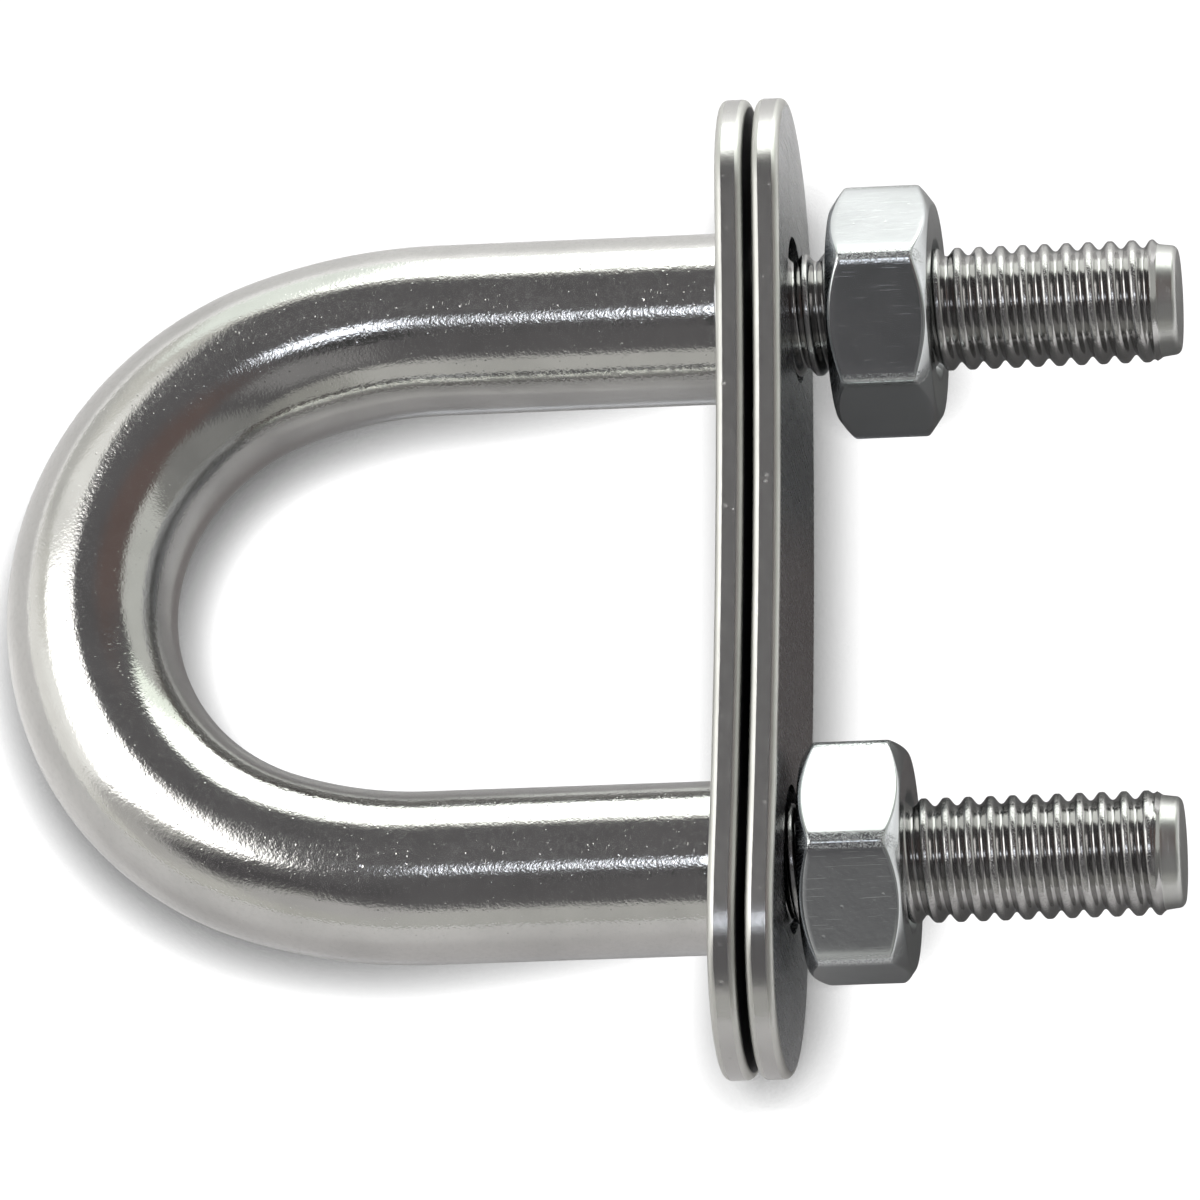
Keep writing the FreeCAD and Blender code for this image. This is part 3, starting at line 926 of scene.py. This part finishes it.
@dataclass
class HexNut(TurnedForm):
    """A hexagon nut with bevelled corners, a countersunk bore and its thread."""

    name: str
    inner_face: float
    centre: tuple[float, float]
    turn: float
    columns: int = 480
    height: float = 5.85
    across_flats: float = 12.75
    face_share: float = 0.955
    bevel_angle: float = 36.0
    bore_diameter: float = 7.3
    countersink: float = 0.45
    thread_pitch: float = 1.25
    thread_depth: float = 0.35
    rows_per_turn: int = 10
    corner_sharpness: float = 32.0
    face_step: float = 0.4
    bore_round: float = 0.06
    sink_round: float = 0.08
    face_round: float = 0.12
    side_round: float = 0.16

    def profile(self) -> list[ProfilePoint]:
        """A closed section: bore, far face, side, near face and back to the bore."""
        flat, bore = self.across_flats / 2, self.bore_diameter / 2
        face, sink = flat * self.face_share, self.countersink
        slope = math.tan(math.radians(self.bevel_angle))
        drop, high = (flat - face) * slope, self.height
        bore_start = ProfilePoint(sink, bore)
        bore_end = ProfilePoint(high - sink, bore)
        sink_end = ProfilePoint(high, bore + sink)
        face_end = ProfilePoint(high, face)
        shoulder_end = ProfilePoint(high - drop, flat, -slope, 1.0)
        shoulder_start = ProfilePoint(drop, flat, slope, 1.0)
        face_start = ProfilePoint(0.0, face)
        sink_start = ProfilePoint(0.0, bore + sink)
        inside_out = [
            *stepped(bore_start, bore_end, self.thread_pitch / self.rows_per_turn),
            *rounded(bore_start, bore_end, sink_end, self.bore_round),
            *rounded(bore_end, sink_end, face_end, self.sink_round),
            *stepped(mixed(sink_end, face_end, 0.1), face_end, self.face_step),
            *rounded(sink_end, face_end, shoulder_end, self.face_round),
            *rounded(face_end, shoulder_end, shoulder_start, self.side_round),
            *stepped(mixed(shoulder_end, shoulder_start, 0.05), shoulder_start, self.face_step),
            *rounded(shoulder_end, shoulder_start, face_start, self.side_round),
            *rounded(shoulder_start, face_start, sink_start, self.face_round),
            *stepped(mixed(face_start, sink_start, 0.1), sink_start, self.face_step),
            *rounded(face_start, sink_start, bore_start, self.sink_round),
            *rounded(sink_start, bore_start, bore_end, self.bore_round),
            bore_start,
        ]
        # the skin faces outwards when the profile runs this way
        return inside_out[::-1]

    def sizes(self) -> dict[str, float]:
        """The tree's named inputs, lengths in metres."""
        return {
            "Columns": self.columns,
            "Inner face": self.inner_face * MM,
            "Centre Y": self.centre[0] * MM,
            "Centre Z": self.centre[1] * MM,
            "Turn": math.radians(self.turn + 30),
            "Half across flats": self.across_flats / 2 * MM,
            "Corner sharpness": self.corner_sharpness,
            "Bore radius": self.bore_diameter / 2 * MM,
            "Thread pitch": self.thread_pitch * MM,
            "Thread depth": self.thread_depth * MM,
        }

    def set_out(self, along: Field, radius: Field, corner: Field, angle: Field, size: dict) -> Field:
        """Draw the side out to the hexagon, cut the bore's thread, and set the nut on its stud."""
        reach = self._reach(angle, size)
        corner_along, _, corner_out = parts(corner)
        along, radius = along + reach * corner_along, radius + reach * corner_out

        in_bore = 1.0 - radius.ease(size["Bore radius"] + 0.005 * MM, size["Bore radius"] + 0.07 * MM)
        groove = (along / size["Thread pitch"] - angle / FULL_TURN).zigzag().ease(0.2, 0.8)
        radius = radius + size["Thread depth"] * in_bore * groove

        round_stud = angle + size["Turn"]
        return combine(
            along.tree,
            size["Inner face"] + along,
            size["Centre Y"] + radius * round_stud.math("COSINE"),
            size["Centre Z"] + radius * round_stud.math("SINE"),
        )

    def _reach(self, angle: Field, size: dict) -> Field:
        """Find how the hexagon reaches out, with its corners eased.

        Args:
            angle: the angle round the nut.
            size: the tree's named inputs.

        Returns:
            How much further out than a flat's middle the hexagon lies.
        """
        sharp = size["Corner sharpness"]
        near = 0.0
        for i in range(3):
            flat = (angle + i * math.pi / 3).math("COSINE").math("ABSOLUTE")
            near = flat.math("POWER", sharp) + near
        return size["Half across flats"] * (near.math("POWER", -1.0 / sharp) - 1.0)

    def wear(self, along: Field, corner: Field, angle: Field, size: dict) -> Field:
        """The edges between the flats are worn."""
        sharp_reach = size["Half across flats"] * (1 / math.cos(math.pi / 6) - 1)
        return (self._reach(angle, size) / sharp_reach).ease(0.7, 0.8) * parts(corner)[2]


# Plates


@dataclass
class OvalPlate:
    """An oval plate of the row, dressed with a finish for each part of its surface.

    The plate is bowed, so its edges are found by the distance from the bow's centre. The covered side
    is 1 where the other plate lies on the hull side, and -1 where it lies on the eye side.
    """

    node: str
    stands_off: float
    covered_side: float
    length: float = 58.6
    width: float = 16.5
    thickness: float = 1.6
    slip: float = 0.36
    edge: float = 0.4
    bow_radius: float = 860.0
    bow_centre: float = -859.718

    def dress(self) -> bpy.types.Object:
        """Give the plate its finish.

        Returns:
            The plate, as the row has it.
        """
        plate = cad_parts[self.node]
        plate.data.materials.clear()
        plate.data.materials.append(self._finish())
        return plate

    def _finish(self) -> bpy.types.Material:
        """Lay sheet on the open face, painted shade on the faces in the gap, a tumbled rim and duller
        rounded edges.

        Returns:
            The material.
        """
        made = new_metal(f"{self.node}_finish")
        tree = made.node_tree
        x, y, z = parts(object_millimetres(tree))
        y = y - self.slip
        half = self.width / 2
        past = (y.math("ABSOLUTE") - (self.length / 2 - half)).math("MAXIMUM", 0.0)
        out = (past * past + z * z).math("SQRT")
        rim = out.ease(half - self.edge - 0.1, half - self.edge + 0.05)

        back = x - self.bow_centre - self.stands_off
        depth = (back * back + y * y).math("SQRT") - self.bow_radius - self.thickness / 2
        near_edge = depth.math("ABSOLUTE").ease(0.36, 0.5)
        # painted shade on the faces in the gap between the plates
        covered = (depth * self.covered_side).ease(0.6, 0.7)

        face = PLATE_FACE.surface(tree).towards(PLATE_GAP_SHADE.surface(tree), covered)
        side = PLATE_RIM.surface(tree).towards(PLATE_EDGE.surface(tree), near_edge)
        return coat(made, face.towards(side, rim))


# Studio


@dataclass(frozen=True)
class Panel:
    """A lit panel or a dark card, by where it stands on a chart of the sky.

    The chart's middle is straight up, and a degree down from there is a degree out on the chart.
    """

    name: str
    east: float
    north: float
    half_width: float
    half_height: float
    edge: float
    light: tuple[float, float, float]
    turn: float = 0.0

    def over(self, colour: Field, east: Field, north: Field) -> Field:
        """Lay the panel over a sky colour.

        Args:
            colour: the sky so far.
            east: degrees from the chart's middle towards +X.
            north: degrees from the chart's middle towards +Y.

        Returns:
            The sky with this panel.
        """
        east, north = east - self.east, north - self.north
        if self.turn:
            cos, sin = math.cos(math.radians(self.turn)), math.sin(math.radians(self.turn))
            east, north = east * cos + north * sin, north * cos - east * sin
        share = self._inside(east, self.half_width) * self._inside(north, self.half_height)
        mix = {0: share, 6: colour, 7: (*self.light, 1.0)}
        return take(colour.tree, "ShaderNodeMix", mix, out=2, data_type="RGBA", label=self.name)

    def _inside(self, off: Field, half: float) -> Field:
        """1 inside the panel along one axis, 0 outside, soft across its edge."""
        return 1.0 - off.math("ABSOLUTE").ease(half - self.edge / 2, half + self.edge / 2)


STUDIO_PANELS = (
    Panel("west_wall", -86, 22, 22, 44, 16, (1.2, 1.19, 1.15)),
    Panel("north_west_wall", -57, 62, 11, 26, 14, (0.74, 0.74, 0.71)),
    Panel("south_west_wall", -56, -32, 14, 18, 14, (0.64, 0.63, 0.61)),
    Panel("east_wall", 68, 27, 28, 34, 8, (0.76, 0.775, 0.735)),
    Panel("south_wall", -9, -76, 18, 20, 8, (0.64, 0.64, 0.61)),
    Panel("ceiling", 11, -6, 35, 57, 6, (0.152, 0.148, 0.152)),
    Panel("ceiling_south_west", -33, -35, 16, 14, 16, (0.11, 0.105, 0.11), 28),
    Panel("ceiling_corner", -27, -61, 14, 9, 8, (0.62, 0.61, 0.6), -28),
    Panel("brown_ceiling", 30, 4, 16, 26, 18, (0.182, 0.137, 0.127)),
    Panel("grey_corner", 12, -42, 11, 14, 12, (0.33, 0.325, 0.325)),
    Panel("east_card", 57, -38, 20, 28, 10, (0.31, 0.31, 0.3)),
    Panel("window_west", -25, 75, 14, 19, 9, (1.28, 1.36, 1.27)),
    Panel("window_east", 38, 68, 10, 22, 6, (1.55, 1.66, 1.5), -10),
    Panel("window", 10, 73.5, 25, 21.5, 6, (3.0, 3.1, 2.95), -11),
    Panel("softbox_glow", -38, 33, 15, 10, 10, (1.2, 1.2, 1.16)),
    Panel("softbox_west", -60, 1, 8, 16, 12, (1.4, 1.4, 1.36)),
    Panel("softbox", -36, 5, 18, 20, 6, (3.4, 3.37, 3.3), -7),
    Panel("spot", -2, -10, 4.5, 4.2, 6, (3.6, 3.8, 4.15)),
    Panel("camera", -1, -24, 5, 6, 4, (0.07, 0.07, 0.07)),
)


@dataclass
class Studio:
    """The room's light, and the pale floor that the bow eye lies on."""

    wall_light: float = 0.62
    wall_swing: float = 0.33
    bright_wall: float = 165.0
    wall_tint: tuple[float, float, float] = (1.0, 0.995, 0.93)
    floor_span: float = 4.0
    floor_touch: tuple[float, float] = (-36.6, -4.92)
    floor_slope: float = 0.0915
    floor_colour: tuple[float, float, float] = (0.9, 0.89, 0.905)
    floor_seen: float = 0.11
    floor_mirrored: float = 0.09
    floor_sheen: tuple[float, float] = (0.06, 0.28)
    sheen_roughness: float = 0.2
    # painted light: where the floor glows in the metal to the north and east, each a start and an end in
    # millimetres and a strength
    north_glow: tuple[float, float, float] = (35.0, 130.0, 0.5)
    east_glow: tuple[float, float, float] = (40.0, 75.0, 0.4)
    close_shade: float = 3.4
    shade_power: float = 2.5
    shade_edge: tuple[float, float] = (0.7, 1.3)
    # ovals of painted shade on the floor: middle along X, half-widths along X and Y, and depth
    shades: tuple[tuple[float, float, float, float], ...] = (
        (-12.0, 30.0, 16.0, 0.12),
        (20.0, 20.0, 34.0, 0.75),
    )

    def build(self) -> None:
        """Make the floor and light the room."""
        self._floor()
        self._room()

    def _floor(self) -> None:
        """A pale floor through the points that the bow eye rests on."""
        half = self.floor_span / 2
        at_x, at_z = (v * MM for v in self.floor_touch)
        corners = [
            (x, y, at_z - self.floor_slope * (x - at_x))
            for x, y in ((-half, -half), (half, -half), (half, half), (-half, half))
        ]
        mesh = bpy.data.meshes.new("floor")
        mesh.from_pydata(corners, [], [(0, 1, 2, 3)])
        mesh.materials.append(self._floor_finish())
        floor = bpy.data.objects.new("floor", mesh)
        bpy.context.scene.collection.objects.link(floor)

    def _floor_finish(self) -> bpy.types.Material:
        """Make the floor white to the camera but for the shade close to the steel, and pale in the metal,
        with painted shade under the steel and painted light to the north and east.

        Returns:
            The material.
        """
        made = bpy.data.materials.new("floor_paper")
        made.use_nodes = True
        tree = made.node_tree
        tree.nodes.clear()
        ray = tree.nodes.new("ShaderNodeLightPath")
        seen, mirrored, through = (
            Field(tree, ray.outputs[f"Is {kind} Ray"]) for kind in ("Camera", "Glossy", "Transmission")
        )
        white = (1, 1, 1, 1)
        reach = {"Distance": self.close_shade * MM}
        close = take(tree, "ShaderNodeAmbientOcclusion", reach, out="AO", samples=3)
        strength = close**self.shade_power + close * self.floor_seen
        to_camera = take(tree, "ShaderNodeEmission", {"Color": white, "Strength": strength})

        x, y, _ = parts(object_millimetres(tree))
        # painted shade: the floor's colour and its light in the metal are darkened inside ovals under the
        # loop and round the studs
        shade, inside = 1.0, []
        for middle, half_x, half_y, depth in self.shades:
            off = (((x - middle) / half_x) ** 2 + (y / half_y) ** 2).math("SQRT")
            inside.append(1.0 - off.ease(*self.shade_edge))
            shade = (1.0 - inside[-1] * depth) * shade
        shaded = scaled(tree, self.floor_colour, shade)
        shaded = take(tree, "ShaderNodeBsdfDiffuse", {"Color": shaded})
        gloss = {"Color": white, "Roughness": self.sheen_roughness}
        sheen = take(tree, "ShaderNodeBsdfAnisotropic", gloss)
        share = self.floor_sheen[0] + inside[0] * self.floor_sheen[1]
        shaded = take(tree, "ShaderNodeMixShader", {0: share, 1: shaded, 2: sheen})
        # painted light: the floor glows in the metal towards the north and the east
        glow = y.ease(*self.north_glow[:2]) * self.north_glow[2]
        glow = glow + x.ease(*self.east_glow[:2]) * self.east_glow[2]
        strength = (mirrored + through) * (glow + self.floor_mirrored) * shade
        lift = take(tree, "ShaderNodeEmission", {"Color": white, "Strength": strength})
        to_metal = take(tree, "ShaderNodeAddShader", {0: lift, 1: shaded})
        both = take(tree, "ShaderNodeMixShader", {0: seen, 1: to_metal, 2: to_camera})
        add_node(tree, "ShaderNodeOutputMaterial", {"Surface": both})
        return made

    def _room(self) -> None:
        """The walls, the dark ceiling and the lit panels, with a white backdrop for the camera."""
        world = bpy.data.worlds.new("studio")
        bpy.context.scene.world = world
        world.use_nodes = True
        # the light reaches the metal through its own reflections, which is quicker than aiming at panels
        world.cycles.sampling_method = "NONE"
        tree = world.node_tree
        tree.nodes.clear()
        x, y, z = parts(take(tree, "ShaderNodeTexCoord", out="Generated"))
        level = (x * x + y * y).math("SQRT").math("MAXIMUM", 1e-4)
        down = z.clamp(-1.0, 1.0).math("ARCCOSINE") * (180 / math.pi)
        east, north = down * x / level, down * y / level
        heading = math.radians(self.bright_wall)
        wall = (x * math.cos(heading) + y * math.sin(heading)) / level * self.wall_swing + self.wall_light
        colour = combine(tree, *(wall * tint for tint in self.wall_tint))
        for panel in STUDIO_PANELS:
            colour = panel.over(colour, east, north)
        lit = take(tree, "ShaderNodeBackground", {"Color": colour, "Strength": 1.0})
        white = take(tree, "ShaderNodeBackground", {"Color": (1, 1, 1, 1), "Strength": 1.0})
        ray = tree.nodes.new("ShaderNodeLightPath")
        below = z.math("LESS_THAN", 0.0) * Field(tree, ray.outputs["Is Glossy Ray"])
        seen = Field(tree, ray.outputs["Is Camera Ray"]) + Field(tree, ray.outputs["Is Transmission Ray"])
        both = take(tree, "ShaderNodeMixShader", {0: seen + below, 1: lit, 2: white})
        add_node(tree, "ShaderNodeOutputWorld", {"Surface": both})


@dataclass
class Viewpoint:
    """The camera, at the photograph's angle."""

    aim: tuple[float, float, float] = (-7.31, -0.29, 0.0)
    distance: float = 600.0
    lens: float = 316.98
    sensor: float = 36.0
    turn: float = 8.11
    lean: float = 21.57
    roll: float = 0.8

    def build(self) -> None:
        """Make the camera and set it as the scene's own."""
        data = bpy.data.cameras.new("viewpoint")
        data.lens = self.lens
        data.sensor_width = self.sensor
        data.clip_start = 0.01
        turned = (
            Matrix.Rotation(math.radians(self.turn), 4, "Y")
            @ Matrix.Rotation(math.radians(self.lean), 4, "X")
            @ Matrix.Rotation(math.radians(self.roll), 4, "Z")
        )
        back = turned.to_3x3() @ Vector((0, 0, self.distance))
        camera = bpy.data.objects.new("viewpoint", data)
        camera.matrix_world = Matrix.Translation((Vector(self.aim) + back) * MM) @ turned
        bpy.context.scene.collection.objects.link(camera)
        bpy.context.scene.camera = camera


def nut_on(node: str, turn: float) -> HexNut:
    """A nut that stands where the row's nut does.

    Args:
        node: the row's nut.
        turn: how far the nut is turned on its stud, in degrees.

    Returns:
        The nut's form.
    """
    low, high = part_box(node)
    middle = (low + high) / 2 / MM
    return HexNut(name=f"{node}_hexagon", inner_face=low.x / MM, centre=(middle.y, middle.z), turn=turn)


def main() -> None:
    """Build, dress and report every piece."""
    logging.basicConfig(level=logging.INFO, format="%(message)s")
    bpy.context.scene.view_settings.view_transform = "Standard"
    Studio().build()
    Viewpoint().build()
    forms = (
        (BentBar(), "u_bolt", "eye", "bar"),
        (nut_on("upper_nut", 26.0), "upper_nut", "upper_nut", "nuts"),
        (nut_on("lower_nut", 40.0), "lower_nut", "lower_nut", "nuts"),
    )
    for form, node, body, slot in forms:
        piece = form.build()
        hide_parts(node)
        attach(piece, body)
        LOG.info("%s: %d faces, rides %s", piece.name, len(piece.data.polygons), body)
    for plate in (OvalPlate("face_plate", 0.0, 1.0), OvalPlate("backing_plate", 2.1, -1.0)):
        plate = plate.dress()
        LOG.info("%s: %d faces", plate.name, len(plate.data.polygons))


if __name__ == "__main__":
    main()
